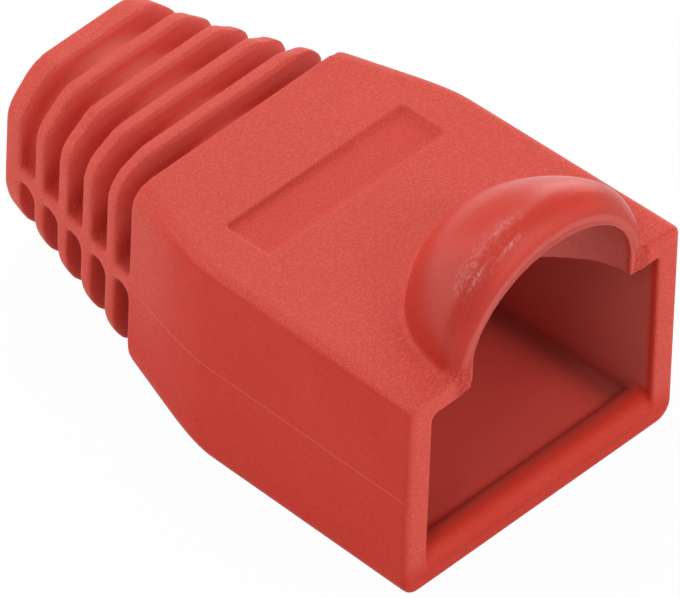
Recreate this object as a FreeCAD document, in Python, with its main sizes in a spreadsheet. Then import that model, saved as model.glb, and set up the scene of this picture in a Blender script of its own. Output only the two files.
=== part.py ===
import FreeCAD, Part
import math
import os
import Sketcher

# Strain relief boot for an eight-way modular plug, moulded in one soft piece.
# The plug sits in the rectangular mouth with its latch under the round hood,
# and the cable leaves through the ribbed neck.
#
# Frame, in millimetres: +Z is up, the mouth faces -Y, the cable leaves towards +Y,
# and the origin is on the flat underside, halfway along and in the middle.
# Sizes named "_at" are distances from the mouth.

SIZES = [
    ("overall_length", 23.2, "mouth to the end of the collar"),
    ("body_height", 9.3, "underside to the flat top"),
    ("mouth_width", 14.2, "across the mouth"),
    ("waist_at", 10.2, "where the straight sides end and start to bend in"),
    ("waist_width", 13.64, "width there"),
    ("bend_width", 13.34, "width a quarter of the way from the waist to the neck"),
    ("flank_width", 12.7, "width halfway from the waist to the neck"),
    ("shoulder_width", 12.0, "width three quarters of the way"),
    ("neck_at", 15.45, "end of the body, start of the neck"),
    ("neck_width", 11.3, "width there"),
    ("top_round", 0.35, "long top edges at the mouth"),
    ("low_round", 0.75, "long bottom edges at the mouth"),
    ("neck_top_round", 0.9, "long top edges at the neck"),
    ("neck_low_round", 2.0, "long bottom edges at the neck"),
    ("front_round", 0.2, "outer edge of the mouth"),
    ("rib_flat", 7.8, "flat on top of the first rib"),
    ("rib_corner", 1.45, "height of the first rib's top corners"),
    ("rib_lift", 0.15, "first rib's lowest line above the underside"),
    ("rib_low_round", 2.2, "lower corners of the first rib"),
    ("collar_width", 7.9, "end collar, across"),
    ("collar_drop", 0.56, "end collar's highest line below the flat top"),
    ("collar_flat", 3.6, "flat on top of the collar"),
    ("collar_corner", 2.0, "height of the collar's top corners"),
    ("collar_lift", 0.8, "end collar's lowest line above the underside"),
    ("collar_low_round", 3.3, "lower corners of the collar"),
    ("crown_round", 1.8, "where the ribs' flat tops turn into the slant"),
    ("shoulder_round", 1.4, "where the slant turns into the ribs' sides"),
    ("slot_at", 15.3, "start of the first slot, which trims the end of the body"),
    ("slot_count", 5, "slots along the neck, above and below"),
    ("slot_pitch", 1.505, "from one slot to the next"),
    ("slot_width", 0.88, "along the neck"),
    ("spine_height", 0.64, "side spines between the upper and lower slots"),
    ("spine_fillet", 0.4, "round corner under the spine"),
    ("run_out", 2.0, "how far a cut runs past the surface"),
    ("tube_radius", 3.62, "round tube that the ribs stand on"),
    ("cable_hole", 6.0, "diameter of the cable's way"),
    ("funnel_mouth", 8.0, "wide end of the funnel"),
    ("funnel_length", 1.6, "from the cavity to the cable's way"),
    ("cavity_width", 12.0, "plug cavity at the mouth"),
    ("cavity_taper", 0.5, "how much narrower it is at its end"),
    ("cavity_depth", 11.2, "plug cavity"),
    ("cavity_round", 0.3, "corners of the cavity"),
    ("floor_thickness", 0.85, "under the cavity"),
    ("ceiling_thickness", 0.95, "over the cavity"),
    ("hood_reach", 5.26, "hood along the boot"),
    ("hood_radius", 5.05, "hood across and up"),
    ("brow_length", 1.2, "front of the hood, where it dips to the lip"),
    ("brow_inset", 0.05, "radius lost halfway along that front"),
    ("brow_drop", 0.15, "and how far its centre lies below the flat top"),
    ("lip_inset", 0.33, "radius lost at the lip"),
    ("lip_drop", 0.65, "and how far its centre lies below the flat top"),
    ("latch_width", 8.4, "latch space across"),
    ("latch_rise", 2.85, "latch space above the flat top"),
    ("sill_radius", 0.63, "retaining sill inside the mouth"),
    ("sill_at", 0.72, "middle of the sill"),
    ("sill_rise", 0.65, "crest of the sill above the cavity's floor"),
    ("sill_lead", 0.22, "depth of the sloping lead-in"),
    ("label_width", 9.3, "marking recess across the top"),
    ("label_length", 2.07, "along the boot"),
    ("label_at", 9.48, "front edge of the recess"),
    ("label_depth", 0.2, "depth of the recess"),
]

doc = FreeCAD.newDocument("StrainReliefBoot")
sheet = doc.addObject("Spreadsheet::Sheet", "Sizes")
for row, (alias, value, meaning) in enumerate(SIZES, start=1):
    sheet.set("A%d" % row, meaning)
    sheet.set("B%d" % row, str(value))
    sheet.setAlias("B%d" % row, alias)
doc.recompute()

# Heights and places that several features share, worked out from the sheet.
PARTING = "Sizes.body_height / 2"
SPINE_TOP = "(Sizes.body_height + Sizes.spine_height) / 2"
SPINE_BOTTOM = "(Sizes.body_height - Sizes.spine_height) / 2"
CEILING = "Sizes.body_height - Sizes.ceiling_thickness"
TO_MOUTH = "Sizes.overall_length / 2"
FIRST_SLOT = "Sizes.slot_at - Sizes.overall_length / 2"

# Sketcher's names for a line's ends, an arc's centre, the origin and the upright axis.
START, END, CENTRE = 1, 2, 3
ORIGIN, UPRIGHT_AXIS = -1, -2


def value_of(expression):
    """The present value of an expression on the sheet."""
    return float(sheet.evalExpression(expression.replace("Sizes.", "")))


def size(alias):
    return value_of("Sizes." + alias)


body = doc.addObject("PartDesign::Body", "Boot")
body.Label = "boot"
body.Placement = FreeCAD.Placement()


# ---- Sketches -------------------------------------------------------------------

def origin_plane(role):
    for feature in body.Origin.OriginFeatures:
        if feature.Role == role:
            return feature


def attached_sketch(name, role, offset=None):
    """A sketch on one of the body's own planes, moved along that plane's normal."""
    sketch = body.newObject("Sketcher::SketchObject", name)
    sketch.AttachmentSupport = (origin_plane(role), "")
    sketch.MapMode = "FlatFace"
    sketch.Visibility = False
    if offset:
        sketch.setExpression("AttachmentOffset.Base.z", offset)
    return sketch


def cross_section(name, at):
    """A sketch across the boot, at a distance from the mouth."""
    return attached_sketch(name, "XZ_Plane", "%s - (%s)" % (TO_MOUTH, at))


def line(x1, y1, x2, y2):
    return Part.LineSegment(FreeCAD.Vector(x1, y1, 0), FreeCAD.Vector(x2, y2, 0))


def circle(x, y, radius):
    return Part.Circle(FreeCAD.Vector(x, y, 0), FreeCAD.Vector(0, 0, 1), radius)


def arc(x, y, radius, start, end):
    return Part.ArcOfCircle(circle(x, y, radius), math.radians(start), math.radians(end))


def join(sketch, kind, edges, count):
    """Ties the end of each of these edges to the start of the next one round."""
    for edge in edges:
        sketch.addConstraint(Sketcher.Constraint(kind, edge, END, (edge + 1) % count, START))


def square_up(sketch, level, upright):
    for edge in level:
        sketch.addConstraint(Sketcher.Constraint("Horizontal", edge))
    for edge in upright:
        sketch.addConstraint(Sketcher.Constraint("Vertical", edge))


def bind(sketch, kind, *places, to):
    """Adds one driving dimension and ties it to an expression on the sheet."""
    index = sketch.addConstraint(Sketcher.Constraint(kind, *places, value_of(to)))
    sketch.setExpression("Constraints[%d]" % index, to)


def centre_on_middle(sketch, edge):
    sketch.addConstraint(Sketcher.Constraint("Symmetric", edge, START, edge, END, UPRIGHT_AXIS))


def rounded_section(name, at, width, bottom, top, low_round, top_round):
    """A rectangle with rounded corners, the same on both sides of the middle."""
    sketch = cross_section(name, at)
    half = value_of(width) / 2
    low = value_of(bottom)
    high = value_of(top)
    below = value_of(low_round)
    above = value_of(top_round)
    sketch.addGeometry([
        line(-half + below, low, half - below, low),
        arc(half - below, low + below, below, -90, 0),
        line(half, low + below, half, high - above),
        arc(half - above, high - above, above, 0, 90),
        line(half - above, high, -half + above, high),
        arc(-half + above, high - above, above, 90, 180),
        line(-half, high - above, -half, low + below),
        arc(-half + below, low + below, below, 180, 270),
    ], False)
    join(sketch, "Tangent", range(8), 8)
    square_up(sketch, level=[], upright=[2, 6])
    centre_on_middle(sketch, 0)
    centre_on_middle(sketch, 4)
    sketch.addConstraint(Sketcher.Constraint("Equal", 1, 7))
    bind(sketch, "DistanceX", 6, START, 2, START, to=width)
    bind(sketch, "DistanceY", ORIGIN, START, 4, START, to=top)
    bind(sketch, "DistanceY", 0, START, 4, END, to="%s - (%s)" % (top, bottom))
    bind(sketch, "Radius", 1, to=low_round)
    bind(sketch, "Radius", 3, to=top_round)
    return sketch


def rib_section(name, at, width, bottom, top, low_round, flat, corner):
    """A rib's outline: round below, straight sides and slanted corners, all blended."""
    sketch = cross_section(name, at)
    half = value_of(width) / 2
    low = value_of(bottom)
    high = value_of(top)
    below = value_of(low_round)
    crown = value_of(flat) / 2
    side = high - value_of(corner)
    crown_round = size("crown_round")
    shoulder_round = size("shoulder_round")
    shoulder = half - shoulder_round

    # The slanted line touches both rounds, at the same angle on each.
    across = shoulder - crown
    down = side - (high - crown_round)
    apart = math.hypot(across, down)
    slant = math.atan2(down, across) + math.acos((crown_round - shoulder_round) / apart)
    slant_x = math.cos(slant)
    slant_z = math.sin(slant)
    crown_x = crown + crown_round * slant_x
    crown_z = high - crown_round + crown_round * slant_z
    shoulder_x = shoulder + shoulder_round * slant_x
    shoulder_z = side + shoulder_round * slant_z
    angle = math.degrees(slant)

    sketch.addGeometry([
        line(-half + below, low, half - below, low),
        arc(half - below, low + below, below, -90, 0),
        line(half, low + below, half, side),
        arc(shoulder, side, shoulder_round, 0, angle),
        line(shoulder_x, shoulder_z, crown_x, crown_z),
        arc(crown, high - crown_round, crown_round, angle, 90),
        line(crown, high, -crown, high),
        arc(-crown, high - crown_round, crown_round, 90, 180 - angle),
        line(-crown_x, crown_z, -shoulder_x, shoulder_z),
        arc(-shoulder, side, shoulder_round, 180 - angle, 180),
        line(-half, side, -half, low + below),
        arc(-half + below, low + below, below, 180, 270),
    ], False)
    join(sketch, "Tangent", range(12), 12)
    square_up(sketch, level=[], upright=[2, 10])
    centre_on_middle(sketch, 0)
    centre_on_middle(sketch, 6)
    sketch.addConstraint(Sketcher.Constraint("Symmetric", 2, END, 10, START, UPRIGHT_AXIS))
    sketch.addConstraint(Sketcher.Constraint("Equal", 3, 9))
    sketch.addConstraint(Sketcher.Constraint("Equal", 5, 7))
    bind(sketch, "DistanceX", 10, START, 2, END, to=width)
    bind(sketch, "DistanceX", 6, END, 6, START, to=flat)
    bind(sketch, "DistanceY", 2, END, 6, START, to=corner)
    bind(sketch, "DistanceY", ORIGIN, START, 6, START, to=top)
    bind(sketch, "DistanceY", 0, START, 6, END, to="%s - (%s)" % (top, bottom))
    bind(sketch, "Radius", 1, to=low_round)
    bind(sketch, "Radius", 3, to="Sizes.shoulder_round")
    bind(sketch, "Radius", 5, to="Sizes.crown_round")
    return sketch


def circle_section(name, at, radius, height):
    sketch = cross_section(name, at)
    sketch.addGeometry([circle(0, value_of(height), value_of(radius))], False)
    sketch.addConstraint(Sketcher.Constraint("PointOnObject", 0, CENTRE, UPRIGHT_AXIS))
    bind(sketch, "DistanceY", ORIGIN, START, 0, CENTRE, to=height)
    bind(sketch, "Radius", 0, to=radius)
    return sketch


def polygon(sketch, corners):
    """A closed outline of straight lines, still to be dimensioned."""
    count = len(corners)
    edges = [line(*corners[edge], *corners[(edge + 1) % count]) for edge in range(count)]
    sketch.addGeometry(edges, False)
    join(sketch, "Coincident", range(count), count)


# ---- Features -------------------------------------------------------------------

def loft(kind, name, sections, ruled):
    feature = body.newObject(kind, name)
    feature.Profile = sections[0]
    feature.Sections = sections[1:]
    feature.Ruled = ruled
    doc.recompute()
    return feature


def feature_on(kind, name, sketch, **settings):
    """A feature made from one sketch; text settings are expressions on the sheet."""
    feature = body.newObject(kind, name)
    feature.Profile = sketch
    for setting, value in settings.items():
        if setting == "Length":
            feature.setExpression(setting, value)
        else:
            setattr(feature, setting, value)
    doc.recompute()
    return feature


def ellipsoid(kind, name, plane, offset_y, offset_z, polar, across, first, last, turn):
    """An ellipsoid round, or part of one, with its poles on the plane's normal."""
    feature = body.newObject(kind, name)
    feature.AttachmentSupport = (origin_plane(plane), "")
    feature.MapMode = "FlatFace"
    feature.setExpression("AttachmentOffset.Base.y", offset_y)
    feature.setExpression("AttachmentOffset.Base.z", offset_z)
    feature.setExpression("Radius1", polar)
    feature.setExpression("Radius2", across)
    feature.Radius3 = 0
    feature.setExpression("Angle1", first)
    feature.setExpression("Angle2", last)
    feature.setExpression("Angle3", turn)
    doc.recompute()
    return feature


def part_way(first, last, step, steps):
    """A size part of the way from one driving dimension to another."""
    return "Sizes.{0} + (Sizes.{1} - Sizes.{0}) * {2} / {3}".format(first, last, step, steps)


# The body: flat on top and underneath, with sides that taper gently from the
# mouth to the waist, then bend in and run down to the neck. The long edges get
# rounder towards the neck.
mouth_outline = rounded_section("MouthOutline", "0", "Sizes.mouth_width", "0",
                                "Sizes.body_height", "Sizes.low_round", "Sizes.top_round")
waist_widths = ["waist_width", "bend_width", "flank_width", "shoulder_width", "neck_width"]
waist_outlines = []
for step, width in enumerate(waist_widths):
    steps = len(waist_widths) - 1
    waist_outlines.append(rounded_section(
        "WaistOutline%d" % step, part_way("waist_at", "neck_at", step, steps),
        "Sizes." + width, "0", "Sizes.body_height",
        part_way("low_round", "neck_low_round", step, steps),
        part_way("top_round", "neck_top_round", step, steps)))
loft("PartDesign::AdditiveLoft", "FrontOfBody", [mouth_outline, waist_outlines[0]], ruled=True)
loft("PartDesign::AdditiveLoft", "Waist", waist_outlines, ruled=False)

# The neck: a solid taper from the body's end to the collar.
neck_outlines = [
    rib_section("FirstRibOutline", "Sizes.neck_at", "Sizes.neck_width", "Sizes.rib_lift",
                    "Sizes.body_height", "Sizes.rib_low_round", "Sizes.rib_flat",
                    "Sizes.rib_corner"),
    rib_section("CollarOutline", "Sizes.overall_length", "Sizes.collar_width",
                    "Sizes.collar_lift", "Sizes.body_height - Sizes.collar_drop",
                    "Sizes.collar_low_round", "Sizes.collar_flat", "Sizes.collar_corner"),
]
loft("PartDesign::AdditiveLoft", "Neck", neck_outlines, ruled=True)

# The slots that leave the ribs standing: cut right across the neck from the side,
# above and below a thin spine, and repeated along it.
slot_start = value_of(FIRST_SLOT)
slot_end = slot_start + size("slot_width")
spine_top = value_of(SPINE_TOP)
spine_bottom = value_of(SPINE_BOTTOM)
above_all = size("body_height") + size("run_out")
below_all = -size("run_out")
bend = size("spine_fillet")

upper_outline = attached_sketch("UpperSlotOutline", "YZ_Plane")
polygon(upper_outline, [(slot_start, spine_top), (slot_end, spine_top),
                        (slot_end, above_all), (slot_start, above_all)])
square_up(upper_outline, level=[0, 2], upright=[1, 3])
bind(upper_outline, "DistanceX", ORIGIN, START, 0, START, to=FIRST_SLOT)
bind(upper_outline, "DistanceX", 0, START, 0, END, to="Sizes.slot_width")
bind(upper_outline, "DistanceY", ORIGIN, START, 0, START, to=SPINE_TOP)
bind(upper_outline, "DistanceY", ORIGIN, START, 2, START, to="Sizes.body_height + Sizes.run_out")
upper_slot = feature_on("PartDesign::Pocket", "UpperSlot", upper_outline, Type="ThroughAll",
                        Midplane=True)

lower_outline = attached_sketch("LowerSlotOutline", "YZ_Plane")
lower_outline.addGeometry([
    line(slot_start, below_all, slot_end, below_all),
    line(slot_end, below_all, slot_end, spine_bottom),
    line(slot_end, spine_bottom, slot_start + bend, spine_bottom),
    arc(slot_start + bend, spine_bottom - bend, bend, 90, 180),
    line(slot_start, spine_bottom - bend, slot_start, below_all),
], False)
join(lower_outline, "Coincident", [0, 1, 4], 5)
join(lower_outline, "Tangent", [2, 3], 5)
square_up(lower_outline, level=[0, 2], upright=[1, 4])
bind(lower_outline, "DistanceX", ORIGIN, START, 4, START, to=FIRST_SLOT)
bind(lower_outline, "DistanceX", 0, START, 0, END, to="Sizes.slot_width")
bind(lower_outline, "DistanceY", ORIGIN, START, 2, START, to=SPINE_BOTTOM)
bind(lower_outline, "DistanceY", 0, START, ORIGIN, START, to="Sizes.run_out")
bind(lower_outline, "Radius", 3, to="Sizes.spine_fillet")
lower_slot = feature_on("PartDesign::Pocket", "LowerSlot", lower_outline, Type="ThroughAll",
                        Midplane=True)

slots = body.newObject("PartDesign::LinearPattern", "Slots")
slots.Originals = [upper_slot, lower_slot]
slots.Direction = (lower_outline, ["H_Axis"])
slots.setExpression("Length", "Sizes.slot_pitch * (Sizes.slot_count - 1)")
slots.setExpression("Occurrences", "Sizes.slot_count")
body.Tip = slots
doc.recompute()

# The tube inside the ribs, round the cable, from the collar back into the body.
tube_outline = circle_section("TubeOutline", "Sizes.overall_length", "Sizes.tube_radius", PARTING)
tube = feature_on("PartDesign::Pad", "Tube", tube_outline,
                  Length="Sizes.overall_length - Sizes.neck_at + Sizes.slot_width")


# The outer edge of the mouth is softened before the hood goes over it.
def edges_where(shape, test):
    """Names of the edges whose every sampled point passes a test."""
    samples = 5
    return ["Edge%d" % index for index, edge in enumerate(shape.Edges, start=1)
            if not edge.Degenerated and all(test(point) for point in edge.discretize(samples))]


def on_mouth(point):
    touch = 0.01
    return abs(point.y + value_of(TO_MOUTH)) < touch


mouth_edge = body.newObject("PartDesign::Fillet", "MouthEdge")
mouth_edge.Base = (tube, edges_where(tube.Shape, on_mouth))
mouth_edge.setExpression("Radius", "Sizes.front_round")
doc.recompute()

# The hood over the latch: its back is half an egg standing on the flat top, and
# its front narrows and dips to the lip at the mouth.
ellipsoid("PartDesign::AdditiveEllipsoid", "HoodBack", "XZ_Plane", "Sizes.body_height", TO_MOUTH,
          "Sizes.hood_reach", "Sizes.hood_radius", "-90",
          "-asin(Sizes.brow_length / Sizes.hood_reach)", "360")
hood_outlines = [
    circle_section("LipOutline", "0", "Sizes.hood_radius - Sizes.lip_inset",
                   "Sizes.body_height - Sizes.lip_drop"),
    circle_section("BrowOutline", "Sizes.brow_length / 2", "Sizes.hood_radius - Sizes.brow_inset",
                   "Sizes.body_height - Sizes.brow_drop"),
    circle_section("CrownOutline", "Sizes.brow_length",
                   "Sizes.hood_radius * sqrt(1 - (Sizes.brow_length / Sizes.hood_reach) ^ 2)",
                   "Sizes.body_height"),
]
loft("PartDesign::AdditiveLoft", "HoodFront", hood_outlines, ruled=False)

# The plug cavity: a rectangular hole from the mouth, narrowing a little inwards.
cavity_outlines = [
    rounded_section("CavityMouth", "0", "Sizes.cavity_width", "Sizes.floor_thickness", CEILING,
                    "Sizes.cavity_round", "Sizes.cavity_round"),
    rounded_section("CavityEnd", "Sizes.cavity_depth", "Sizes.cavity_width - Sizes.cavity_taper",
                    "Sizes.floor_thickness", CEILING, "Sizes.cavity_round", "Sizes.cavity_round"),
]
loft("PartDesign::SubtractiveLoft", "PlugCavity", cavity_outlines, ruled=True)

# The cable's way: a funnel from the cavity, then a round hole through the neck.
way_outline = attached_sketch("CableWayOutline", "YZ_Plane")
funnel_start = size("cavity_depth") - value_of(TO_MOUTH)
hole_start = funnel_start + size("funnel_length")
way_end = value_of(TO_MOUTH)
axis_height = value_of(PARTING)
hole_top = axis_height + size("cable_hole") / 2
funnel_top = axis_height + size("funnel_mouth") / 2
polygon(way_outline, [(funnel_start, axis_height), (way_end, axis_height), (way_end, hole_top),
                      (hole_start, hole_top), (funnel_start, funnel_top)])
square_up(way_outline, level=[0, 2], upright=[1, 4])
bind(way_outline, "DistanceX", 0, START, ORIGIN, START, to=TO_MOUTH + " - Sizes.cavity_depth")
bind(way_outline, "DistanceX", 0, START, 2, END, to="Sizes.funnel_length")
bind(way_outline, "DistanceX", ORIGIN, START, 0, END, to=TO_MOUTH)
bind(way_outline, "DistanceY", ORIGIN, START, 0, START, to=PARTING)
bind(way_outline, "DistanceY", 1, START, 1, END, to="Sizes.cable_hole / 2")
bind(way_outline, "DistanceY", 0, START, 4, START, to="Sizes.funnel_mouth / 2")
feature_on("PartDesign::Groove", "CableWay", way_outline, ReferenceAxis=(way_outline, ["Edge1"]))

# The latch space: a low dome under the hood, open at the mouth, and the round slot
# that joins it to the cavity.
ellipsoid("PartDesign::SubtractiveEllipsoid", "LatchDome", "XY_Plane", "-%s" % TO_MOUTH,
          "Sizes.body_height", "Sizes.latch_rise", "Sizes.latch_width / 2", "-90", "90", "360")
latch_outline = attached_sketch("LatchSlotOutline", "XY_Plane", "Sizes.body_height")
latch_outline.addGeometry([circle(0, -value_of(TO_MOUTH), size("latch_width") / 2)], False)
latch_outline.addConstraint(Sketcher.Constraint("PointOnObject", 0, CENTRE, UPRIGHT_AXIS))
bind(latch_outline, "DistanceY", 0, CENTRE, ORIGIN, START, to=TO_MOUTH)
bind(latch_outline, "Diameter", 0, to="Sizes.latch_width")
feature_on("PartDesign::Pocket", "LatchSlot", latch_outline, Length="Sizes.latch_rise")

# The sill across the floor, just inside the mouth, that snaps behind the plug.
sill_outline = attached_sketch("SillOutline", "YZ_Plane")
sill_radius = size("sill_radius")
floor = size("floor_thickness")
mouth = -value_of(TO_MOUTH)
sill_middle = mouth + size("sill_at")
sill_end = sill_middle + sill_radius
sill_axis = floor + size("sill_rise") - sill_radius
lead_angle = math.acos((size("sill_at") - size("sill_lead")) / sill_radius)
lead_height = sill_axis + sill_radius * math.sin(lead_angle)
sill_outline.addGeometry([
    arc(sill_middle, sill_axis, sill_radius, 0, 180 - math.degrees(lead_angle)),
    line(mouth + size("sill_lead"), lead_height, mouth, floor),
    line(mouth, floor, mouth, floor / 2),
    line(mouth, floor / 2, sill_end, floor / 2),
    line(sill_end, floor / 2, sill_end, sill_axis),
], False)
join(sill_outline, "Coincident", [0, 1, 2, 3], 5)
join(sill_outline, "Tangent", [4], 5)
square_up(sill_outline, level=[3], upright=[2, 4])
bind(sill_outline, "Radius", 0, to="Sizes.sill_radius")
bind(sill_outline, "DistanceX", 2, START, 0, CENTRE, to="Sizes.sill_at")
bind(sill_outline, "DistanceY", ORIGIN, START, 0, CENTRE,
     to="Sizes.floor_thickness + Sizes.sill_rise - Sizes.sill_radius")
bind(sill_outline, "DistanceX", 2, START, ORIGIN, START, to=TO_MOUTH)
bind(sill_outline, "DistanceX", 1, END, 1, START, to="Sizes.sill_lead")
bind(sill_outline, "DistanceY", ORIGIN, START, 1, END, to="Sizes.floor_thickness")
bind(sill_outline, "DistanceY", 2, END, 2, START, to="Sizes.floor_thickness / 2")
feature_on("PartDesign::Pad", "Sill", sill_outline, Midplane=True,
           Length="(Sizes.cavity_width + Sizes.mouth_width) / 2 - Sizes.front_round")

# The shallow recess across the top for a marking, left bare.
label_outline = attached_sketch("LabelOutline", "XY_Plane", "Sizes.body_height")
right = size("label_width") / 2
near = mouth + size("label_at")
far = near + size("label_length")
polygon(label_outline, [(-right, near), (right, near), (right, far), (-right, far)])
square_up(label_outline, level=[2], upright=[1, 3])
centre_on_middle(label_outline, 0)
bind(label_outline, "DistanceX", 0, START, 0, END, to="Sizes.label_width")
bind(label_outline, "DistanceY", 1, START, 1, END, to="Sizes.label_length")
bind(label_outline, "DistanceY", 0, START, ORIGIN, START, to=TO_MOUTH + " - Sizes.label_at")
body.Tip = feature_on("PartDesign::Pocket", "MarkingRecess", label_outline,
                      Length="Sizes.label_depth")
doc.recompute()

# ---- Checks and output ----------------------------------------------------------

failed = [item.Name for item in doc.Objects if "Invalid" in item.State or "Error" in item.State]
loose = [item.Name for item in doc.Objects
         if item.TypeId == "Sketcher::SketchObject" and not item.FullyConstrained]
if failed or loose:
    raise RuntimeError("not built: %s, not fully dimensioned: %s" % (failed, loose))
if body.Shape.isNull() or not body.Shape.isValid() or len(body.Shape.Solids) != 1:
    raise RuntimeError("the boot is not one sound solid")

os.makedirs("parts", exist_ok=True)
body.Shape.exportStep("parts/%s.step" % body.Label)
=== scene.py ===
import math
import bmesh
import bpy
import numpy as np
from mathutils import Matrix, Vector


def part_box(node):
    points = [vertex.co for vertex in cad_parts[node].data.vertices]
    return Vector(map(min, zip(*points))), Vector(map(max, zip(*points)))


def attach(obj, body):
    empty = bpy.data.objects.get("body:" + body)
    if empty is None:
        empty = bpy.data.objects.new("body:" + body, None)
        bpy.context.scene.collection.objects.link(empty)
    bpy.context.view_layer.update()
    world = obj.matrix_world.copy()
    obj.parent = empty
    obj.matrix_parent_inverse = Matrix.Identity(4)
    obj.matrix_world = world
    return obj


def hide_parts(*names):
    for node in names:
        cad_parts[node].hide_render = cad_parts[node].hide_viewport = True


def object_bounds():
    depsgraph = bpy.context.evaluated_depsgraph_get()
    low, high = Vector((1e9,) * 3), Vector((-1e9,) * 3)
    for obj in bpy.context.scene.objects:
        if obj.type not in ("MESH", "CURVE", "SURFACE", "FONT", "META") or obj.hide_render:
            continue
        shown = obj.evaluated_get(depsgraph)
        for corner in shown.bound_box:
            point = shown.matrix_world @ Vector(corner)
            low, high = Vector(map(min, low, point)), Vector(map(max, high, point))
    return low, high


# A moulded strain relief boot: one soft red shell, with a matt spark-eroded skin, a
# smoother hood, rounded rib edges and the fine lines the mould leaves. The scene is in
# metres, +Z up, and the mouth faces -Y. The shell's points and its finish are worked out
# in millimetres.

MM = 0.001

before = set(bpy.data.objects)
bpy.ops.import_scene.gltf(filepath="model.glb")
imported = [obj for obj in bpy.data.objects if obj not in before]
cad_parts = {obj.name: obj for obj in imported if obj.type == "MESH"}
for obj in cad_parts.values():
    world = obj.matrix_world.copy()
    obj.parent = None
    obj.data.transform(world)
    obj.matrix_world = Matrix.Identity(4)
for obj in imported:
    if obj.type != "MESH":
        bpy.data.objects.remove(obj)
cad_low, cad_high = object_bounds()
low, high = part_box("boot")

# Sizes of the moulding that the finish follows, in millimetres.
mouth_y = low.y / MM
body_top = 9.3
parting_height = body_top / 2
ceiling = 8.35
latch_half = 4.2
latch_rise = 2.85
latch_squat = latch_half / latch_rise
core_aside = 0.3
core_lift = 0.16
lip_radius = 4.72
lip_drop = 0.65
bead_inset = 0.2
slots_start = 15.27
slot_pitch = 1.505
slot_share = 0.6
slots_end = 22.2
sill_groove = 0.7
recess_start = 9.1
recess_end = 12.0
recess_half = 5.2
neck_start = 15.2

# The shell's skin: its mesh size in millimetres, and how much its edges are rounded.
voxel = 0.1
rounding_passes = 7
triangle_limit = 170000

# How far a point gives at each rounding pass, from 0, crisp, to 1, slack.
mouth_give = 0.08
recess_give = 0.1
lip_give = 0.22
body_give = 0.25
neck_give = 0.5
corner_give = 0.5


# ---- The shell ------------------------------------------------------------------

def own_copy(node, name):
    """A merged copy of a CAD node's mesh, in millimetres, so that it can be softened."""
    mesh = node.data.copy()
    mesh.name = name
    mesh.materials.clear()
    mesh.transform(Matrix.Scale(1 / MM, 4))
    work = bmesh.new()
    work.from_mesh(mesh)
    bmesh.ops.remove_doubles(work, verts=work.verts, dist=0.0005)
    work.to_mesh(mesh)
    work.free()
    piece = bpy.data.objects.new(name, mesh)
    bpy.context.scene.collection.objects.link(piece)
    return piece


def settle(piece):
    """Makes what the piece's modifiers show its plain mesh."""
    graph = bpy.context.evaluated_depsgraph_get()
    shown = bpy.data.meshes.new_from_object(piece.evaluated_get(graph))
    old = piece.data
    piece.modifiers.clear()
    piece.data = shown
    bpy.data.meshes.remove(old)


def points_of(mesh):
    points = np.zeros(len(mesh.vertices) * 3)
    mesh.vertices.foreach_get("co", points)
    return points.reshape(-1, 3)


def softness(points):
    """How far each point gives at a pass: the neck's edges and the corners under the hood
    are round, and the mouth's and the marking recess's stay crisp."""
    aside, along, height = abs(points[:, 0]), points[:, 1] - mouth_y, points[:, 2]
    share = np.interp(along, [0.0, 2.0, 3.0, 14.5, 15.5],
                      [mouth_give, mouth_give, body_give, body_give, neck_give])
    in_recess = ((along > recess_start) & (along < recess_end) & (aside < recess_half)
                 & (height > body_top - 0.5))
    share[in_recess] = recess_give
    at_lip = (along < 1.6) & (height > body_top + 0.4)
    share[at_lip] = lip_give
    at_corner = ((along < 4.6) & (abs(aside - latch_half) < 0.5)
                 & (abs(height - ceiling) < 0.45))
    share[at_corner] = corner_give
    return share[:, None]


def slope(values, start, end):
    """0 before start and 1 after end, with a smooth slope between them."""
    share = np.clip((values - start) / (end - start), 0.0, 1.0)
    return share * share * (3.0 - 2.0 * share)


def set_core_over(points):
    """The core that leaves the latch space stands a little high and to one side, so the
    arch is thin at its crown and thicker at its left leg."""
    x, along, up = points[:, 0], points[:, 1] - mouth_y, points[:, 2] - body_top
    above = np.maximum(up, 0.0)
    from_middle = np.sqrt(x ** 2 + along ** 2 + (above * latch_squat) ** 2) / latch_half
    inner = 1.0 - slope(from_middle, 1.03, 1.3)
    at_front = 1.0 - slope(along, 0.6, 3.6)
    moved = inner + (1.0 - inner) * slope(x, -1.0, 3.0)
    moved *= slope(up, -1.3, -0.9) * (1.0 - slope(x, 5.2, 6.6)) * at_front
    points[:, 0] += core_aside * moved
    points[:, 2] += core_lift * above * inner * at_front
    return points


def relax(mesh, passes):
    """Moves every point towards the middle of its neighbours, which rounds the edges."""
    points = points_of(mesh)
    share = softness(points)
    ends = np.zeros(len(mesh.edges) * 2, int)
    mesh.edges.foreach_get("vertices", ends)
    first, second = ends.reshape(-1, 2).T
    neighbours = np.bincount(ends, minlength=len(points))[:, None]
    for _ in range(passes):
        total = np.zeros_like(points)
        for axis in range(3):
            total[:, axis] = (np.bincount(first, points[second, axis], len(points))
                              + np.bincount(second, points[first, axis], len(points)))
        points += share * (total / neighbours - points)
    mesh.vertices.foreach_set("co", set_core_over(points).ravel())
    mesh.update()


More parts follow.
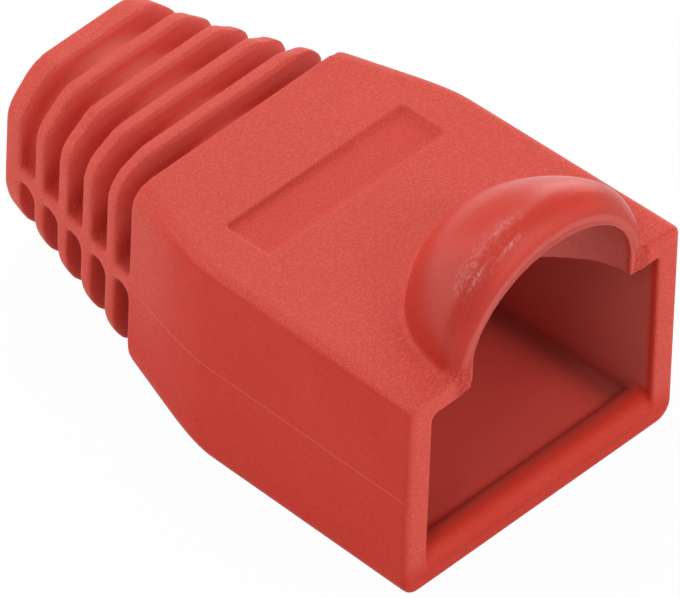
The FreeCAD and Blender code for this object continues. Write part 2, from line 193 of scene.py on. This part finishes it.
def soft_shell(node):
    """The boot with every edge rounded as a worn-in mould leaves it."""
    piece = own_copy(node, "boot_shell")
    remesh = piece.modifiers.new("even_skin", "REMESH")
    remesh.mode = "VOXEL"
    remesh.voxel_size = voxel
    settle(piece)
    relax(piece.data, rounding_passes)
    triangles = 2 * len(piece.data.polygons)
    if triangles > triangle_limit:
        thin = piece.modifiers.new("thin_flat_parts", "DECIMATE")
        thin.ratio = triangle_limit / triangles
        settle(piece)
    mesh = piece.data
    mesh.transform(Matrix.Scale(MM, 4))
    inside_box = np.clip(points_of(mesh), np.array(cad_low), np.array(cad_high))
    mesh.vertices.foreach_set("co", inside_box.ravel())
    mesh.update()
    mesh.polygons.foreach_set("use_smooth", [True] * len(mesh.polygons))
    return piece


# ---- Shader maths ---------------------------------------------------------------

class Wire:
    """A socket in a material's node tree that can be reckoned with."""

    def __init__(self, tree, socket=None):
        self.tree = tree
        self.socket = socket

    def node(self, kind, inputs=None, settings=None, output=0):
        """Adds any node: its settings first, then its inputs, as values or wires."""
        made = self.tree.nodes.new(kind)
        for name, value in (settings or {}).items():
            setattr(made, name, value)
        for place, value in (inputs or {}).items():
            if isinstance(value, Wire):
                self.tree.links.new(value.socket, made.inputs[place])
            else:
                made.inputs[place].default_value = value
        return Wire(self.tree, made.outputs[output] if made.outputs else None)

    def outlet(self, name):
        """Another output of the node that this wire comes from."""
        return Wire(self.tree, self.socket.node.outputs[name])

    def math(self, operation, *others):
        return self.sum_of(operation, self, *others)

    def sum_of(self, operation, *values):
        """A Math node on values or wires, in the order given."""
        return self.node("ShaderNodeMath", dict(enumerate(values)), {"operation": operation})

    def __add__(self, other):
        return self.math("ADD", other)

    __radd__ = __add__

    def __sub__(self, other):
        return self.math("SUBTRACT", other)

    def __rsub__(self, other):
        return self.sum_of("SUBTRACT", other, self)

    def __mul__(self, other):
        return self.math("MULTIPLY", other)

    __rmul__ = __mul__

    def __truediv__(self, other):
        return self.math("DIVIDE", other)

    def __rtruediv__(self, other):
        return self.sum_of("DIVIDE", other, self)

    def __neg__(self):
        return self.math("MULTIPLY", -1.0)

    def size(self):
        return self.math("ABSOLUTE")

    def root(self):
        return self.math("SQRT")

    def most(self, other):
        """The larger of the two."""
        return self.math("MAXIMUM", other)

    def rise(self, start, end):
        """0 before start and 1 after end, with a smooth slope between them."""
        return self.node("ShaderNodeMapRange", {0: self, 1: start, 2: end, 3: 0.0, 4: 1.0},
                         {"interpolation_type": "SMOOTHSTEP"})

    def fall(self, start, end):
        """1 before start and 0 after end, with a smooth slope between them."""
        return 1.0 - self.rise(start, end)

    def near(self, level, core, reach):
        """1 within core of a level and 0 past reach of it."""
        return (self - level).size().fall(core, reach)

    def blend(self, off, on):
        """One colour where this is 0 and another where it is 1."""
        return self.node("ShaderNodeMix", {"Factor": self, 6: off, 7: on},
                         {"data_type": "RGBA"}, output=2)

    def scaled(self, factor):
        """A place times a factor."""
        return self.node("ShaderNodeVectorMath", {0: self, "Scale": factor},
                         {"operation": "SCALE"})

    def parts(self):
        """A place's X, Y and Z."""
        split = self.node("ShaderNodeSeparateXYZ", {0: self})
        return [split.outlet(axis) for axis in "XYZ"]

    def noise(self, scale, detail=2.0, roughness=0.5):
        """A cloudy pattern round 0.5 at these places."""
        return self.node("ShaderNodeTexNoise", {"Vector": self, "Scale": scale,
                                                "Detail": detail, "Roughness": roughness})


def new_material(name):
    material = bpy.data.materials.new(name)
    material.use_nodes = True
    material.node_tree.nodes.clear()
    return material, Wire(material.node_tree)


# ---- The red plastic ------------------------------------------------------------

# The plastic's colours: its smooth sides, its grain with partly painted sheen, and
# painted light and shade on the ribs, slots, hood flanks, arch front and inside.
smooth_red = (0.555, 0.023, 0.0085, 1)
# Paler grain colour: partly the grain's own tone, partly painted sheen where light falls.
grain_and_sheen_red = (0.60, 0.060, 0.040, 1)
# Ribs: the grain's colour made paler as painted sheen.
rib_grain_and_sheen_red = (0.62, 0.072, 0.050, 1)
# Painted light: the shaded slots painted paler.
slot_painted_light_red = (0.78, 0.150, 0.115, 1)
# Painted shade: a deeper red for the hood's flanks and the arch's front face.
hood_painted_shade_red = (0.45, 0.024, 0.013, 1)
# Painted shade and bounce light: the inside painted to look as it does in its shade.
cavity_painted_shade_red = (0.50, 0.098, 0.078, 1)
# Painted light: the cavity floor painted brighter than its shade.
cavity_floor_painted_light_red = (0.98, 0.140, 0.108, 1)
# Painted light: the slope behind the sill painted lighter than its shade.
behind_sill_painted_light_red = (0.55, 0.070, 0.052, 1)
# Painted shade: a dark line low on the front face.
groove_painted_shade_red = (0.44, 0.020, 0.009, 1)
# Painted shade where the inner walls meet the floor.
wall_foot_painted_shade_red = (0.20, 0.030, 0.022, 1)
speckle_red = (0.85, 0.14, 0.10, 1)
# Painted highlight for the seam, the flash and the bead.
line_highlight_red = (0.84, 0.19, 0.145, 1)


def latch_arch(x, z):
    """The outline of the latch space at the mouth: how far a place is past it, and the
    squares that add up to its distance from the middle."""
    above = (z - body_top).most(0.0) / (1.0 + core_lift) * latch_squat
    across = x - core_aside
    squares = across * across + above * above
    return squares.root() - latch_half, squares


def inside_painted_light_masks(side, y, z, inwards, squares):
    """Where light and shade are painted inside: the whole inside, its floor, and the
    slope behind the sill."""
    sill = z.fall(1.6, 1.9) * inwards.fall(0.9, 1.15)
    off_floor = z.rise(0.7, 0.9)
    cavity = (side.fall(6.2, 6.4) * z.fall(8.2, 8.5) * off_floor * y.fall(-0.5, 0.0)
              * inwards.rise(0.2, 0.5) * (1.0 - sill))
    on_floor = cavity * z.fall(0.88, 0.98) * side.fall(4.2, 6.0)
    past_dome = (squares + inwards * inwards).root() - latch_half
    in_latch = past_dome.fall(0.15, 0.45) * inwards.rise(0.1, 0.4) * z.rise(8.2, 8.5)
    behind_sill = sill * inwards.rise(0.45, 0.95) * side.fall(6.0, 6.2) * off_floor
    return cavity.most(in_latch), on_floor, behind_sill


def parting_line(places, side, y, z, inwards, ribs):
    """The line where the mould's halves meet, a little uneven, along both outer sides."""
    unevenness = (places.noise(0.3) - 0.5) * 0.12
    outside = (side + y.rise(-1.0, 1.0)).rise(6.25, 6.35)
    on_side = outside * (1.0 - ribs) * inwards.rise(0.15, 0.3)
    return (z - parting_height - unevenness).size().fall(0.015, 0.055) * on_side


def mouth_flash(side, z, inwards, past_arch, above_ceiling):
    """Thin flash round the arch and along the ceiling's front edge."""
    round_arch = past_arch.size().fall(0.04, 0.16) * above_ceiling
    on_shelf = z.near(ceiling, 0.04, 0.14) * past_arch.rise(0.0, 0.1) * side.fall(5.9, 6.0)
    return round_arch.most(on_shelf) * inwards.fall(0.08, 0.2)


def hood_bead(x, z, inwards, hood):
    """The bead where the hood meets its front face."""
    lean = (x - core_aside).most(0.0) + (-x).most(0.0)
    drop = z - (body_top - lip_drop)
    ring = (lean * lean + drop * drop).root()
    return ring.near(lip_radius - bead_inset, 0.05, 0.2) * inwards.fall(0.3, 0.5) * hood


def red_plastic():
    """Moulded plastic: a pale matt grain on top, at the rim and on the neck, partly painted
    sheen, smoother sides, a hood with a soft gloss that is specked near its lip and painted
    shade on its flanks, and painted light and shade inside."""
    material, start = new_material("boot_plastic")
    places = start.node("ShaderNodeTexCoord").outlet("Object").scaled(1 / MM)
    x, y, z = places.parts()
    side = x.size()
    inwards = y - mouth_y

    fine = places.noise(11.0, 2.0, 0.65)
    speck = places.noise(5.2, 1.0)
    broad = places.noise(0.26, 3.0)

    # Where the mould was eroded to a grain, whose paler colour is partly painted sheen: the
    # flat top, the rim and the neck.
    hood = z.rise(body_top + 0.1, body_top + 0.6)
    top = z.rise(body_top - 0.35, body_top - 0.1) * (1.0 - hood * 0.75)
    rim = inwards.fall(0.02, 0.25) * z.rise(0.8, 1.8)
    neck = inwards.rise(11.5, 14.5) * z.rise(1.0, 6.5)
    grain_and_sheen = top.most(rim * (1.0 - hood)).most(neck)
    ribs = inwards.rise(neck_start, neck_start + 0.3)
    turn = ((inwards - slots_start) / slot_pitch).math("FRACT")
    between_ribs = turn.fall(slot_share, slot_share + 0.04)
    in_slot = ribs * between_ribs * inwards.fall(slots_end, slots_end + 0.1)

    past_arch, squares = latch_arch(x, z)
    above_ceiling = z.rise(ceiling - 0.02, ceiling + 0.03)
    # Masks for the painted light and shade inside.
    within, on_floor, behind_sill = inside_painted_light_masks(side, y, z, inwards, squares)
    # Painted shade on the arch's front face.
    arch_front_painted_shade = inwards.fall(0.2, 0.4) * past_arch.fall(0.7, 1.1) * above_ceiling
    # Painted shade: a dark line across the front at sill_groove height.
    groove_shade_line = z.near(sill_groove, 0.0, 0.2) * inwards.fall(0.3, 0.5)
    # Painted shade where the inner walls meet the floor.
    wall_foot_shade = within * side.rise(5.1, 5.8) * z.fall(1.1, 1.7)
    seam = parting_line(places, side, y, z, inwards, ribs)
    flash = mouth_flash(side, z, inwards, past_arch, above_ceiling)
    bead = hood_bead(x, z, inwards, hood)

    # The grain's paler colour, partly painted sheen.
    colour = grain_and_sheen.blend(smooth_red, grain_and_sheen_red)
    # Ribs: grain with painted sheen.
    for share, red in ((ribs * 0.8, rib_grain_and_sheen_red),
                       # Painted light in the slots.
                       (in_slot * z.rise(5.4, 7.0) * 0.9, slot_painted_light_red),
                       # Painted shade on the hood's flanks.
                       (hood * side.rise(2.2, 3.8), hood_painted_shade_red),
                       # Painted shade on the arch's front face.
                       (arch_front_painted_shade, hood_painted_shade_red),
                       # Painted shade inside the cavity.
                       (within, cavity_painted_shade_red),
                       # Painted light on the cavity floor.
                       (on_floor, cavity_floor_painted_light_red),
                       # Painted light on the slope behind the sill.
                       (behind_sill, behind_sill_painted_light_red),
                       # Painted shade line low on the front.
                       (groove_shade_line * 0.6, groove_painted_shade_red),
                       # Painted shade at the foot of the inner walls.
                       (wall_foot_shade * 0.5, wall_foot_painted_shade_red)):
        colour = share.blend(colour, red)

    # The grain's pale specks, coarser near the mouth and on the ribs, faint on the hood.
    coarse = top * inwards.fall(1.5, 7.0) + ribs
    mottle = ((broad - 0.5) * 0.16
              + (fine - 0.5) * (1.1 * grain_and_sheen + 0.3) * (1.0 + coarse * 0.5))
    colour = (mottle * (1.0 - hood * 0.65) + 0.08).blend(colour, speckle_red)
    # Painted highlights: pale colour along the seam, the flash and the bead, which the relief
    # bump also raises.
    lines = (seam * 0.25).most(flash * 0.45).most(bead * 0.2)
    colour = lines.blend(colour, line_highlight_red)

    # The hood's gloss, worn into specks on the left of its lip.
    worn = inwards.fall(1.0, 1.7) * (-x).rise(0.2, 1.4) * z.rise(11.9, 12.8)
    specks = (0.4 + (fine - 0.5) * 5.0 + (speck - 0.5) * 2.5).most(0.0)
    gloss = hood * inwards.rise(0.15, 0.45) * (0.2 + worn * specks)
    rough = 0.58 - hood * 0.2 + (speck - 0.5) * 0.2

    grain = start.node("ShaderNodeBump", {"Strength": 0.75, "Distance": 0.03 * MM,
                                          "Height": (fine - 0.5) * (0.4 + 0.6 * grain_and_sheen)})
    relief = start.node("ShaderNodeBump", {"Strength": 0.45, "Distance": 0.06 * MM,
                                           "Height": seam + flash + bead, "Normal": grain})
    skin = start.node("ShaderNodeBsdfPrincipled", {"Base Color": colour, "Roughness": rough,
                                                   "Specular IOR Level": 0.2,
                                                   "Coat Weight": gloss,
                                                   "Coat Roughness": 0.26,
                                                   "Normal": relief})
    start.node("ShaderNodeOutputMaterial", {"Surface": skin})
    return material


# ---- Floor, lamps and camera ----------------------------------------------------

def floor():
    half = 2.0
    mesh = bpy.data.meshes.new("floor")
    mesh.from_pydata([(-half, -half, 0), (half, -half, 0), (half, half, 0), (-half, half, 0)],
                     [], [(0, 1, 2, 3)])
    piece = bpy.data.objects.new("floor", mesh)
    bpy.context.scene.collection.objects.link(piece)
    material, start = new_material("white_paper")
    rays = start.node("ShaderNodeLightPath")
    seen = (rays.outlet("Is Camera Ray").most(rays.outlet("Is Glossy Ray"))
            .most(rays.outlet("Is Transmission Ray")))
    paper = start.node("ShaderNodeBsdfDiffuse", {"Color": (0.86, 0.86, 0.86, 1)})
    white = start.node("ShaderNodeEmission", {"Color": (1, 1, 1, 1), "Strength": 1.0})
    mixed = start.node("ShaderNodeMixShader", {0: seen * 0.97, 1: paper, 2: white})
    start.node("ShaderNodeOutputMaterial", {"Surface": mixed})
    mesh.materials.append(material)


def softbox(name, direction, width, level):
    """A square lamp; level is how much of a white card facing it would light up."""
    distance = 0.3
    data = bpy.data.lights.new(name, "AREA")
    data.shape = "SQUARE"
    data.size = width
    data.energy = level * math.pi ** 2 * distance ** 2
    lamp = bpy.data.objects.new(name, data)
    towards = Vector(direction).normalized()
    lamp.location = (low + high) / 2 + towards * distance
    lamp.rotation_mode = "QUATERNION"
    lamp.rotation_quaternion = towards.to_track_quat("Z", "Y")
    bpy.context.scene.collection.objects.link(lamp)


def sky(level):
    world = bpy.data.worlds.new("sky")
    world.use_nodes = True
    world.node_tree.nodes.clear()
    start = Wire(world.node_tree)
    light = start.node("ShaderNodeBackground", {"Color": (1, 1, 1, 1), "Strength": level})
    white = start.node("ShaderNodeBackground", {"Color": (1, 1, 1, 1), "Strength": 1.0})
    seen = start.node("ShaderNodeLightPath").outlet("Is Camera Ray")
    mixed = start.node("ShaderNodeMixShader", {0: seen, 1: light, 2: white})
    start.node("ShaderNodeOutputWorld", {"Surface": mixed})
    bpy.context.scene.world = world


def camera():
    """Looks down on the mouth and the left side from a metre away."""
    right = Vector((0.6653, -0.7466, 0.0))
    back = Vector((-0.5517, -0.4917, 0.6738))
    up = Vector((0.5031, 0.4483, 0.7390))
    aim = Vector((-1.3635, -2.7073, 5.3714)) * MM
    roll = math.radians(2.32)
    turned = math.cos(roll) * right + math.sin(roll) * up
    upright = math.cos(roll) * up - math.sin(roll) * right
    data = bpy.data.cameras.new("camera")
    data.sensor_width = 36
    data.lens = 1461.5
    data.clip_start, data.clip_end = 0.1, 10
    holder = bpy.data.objects.new("camera", data)
    turn = Matrix((turned, upright, back)).transposed().to_4x4()
    holder.matrix_world = Matrix.Translation(aim + back) @ turn
    bpy.context.scene.collection.objects.link(holder)
    bpy.context.scene.camera = holder


# ---- Putting it together --------------------------------------------------------

shell = soft_shell(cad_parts["boot"])
shell.data.materials.clear()
shell.data.materials.append(red_plastic())
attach(shell, "root")
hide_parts("boot")

floor()
sky(0.42)
softbox("overhead_softbox", (0.3, 0.5, 0.85), 0.22, 0.26)
softbox("front_softbox", (0.31, -0.93, 0.08), 0.16, 0.45)
softbox("front_high_softbox", (0.04, -0.76, 0.66), 0.06, 0.1)
softbox("key_softbox", (-0.58, -0.26, 0.74), 0.07, 0.14)
softbox("back_softbox", (-0.48, 0.8, 0.4), 0.36, 0.57)
softbox("right_softbox", (0.88, 0.3, 0.1), 0.3, 0.85)
camera()
bpy.context.scene.view_settings.view_transform = "Standard"
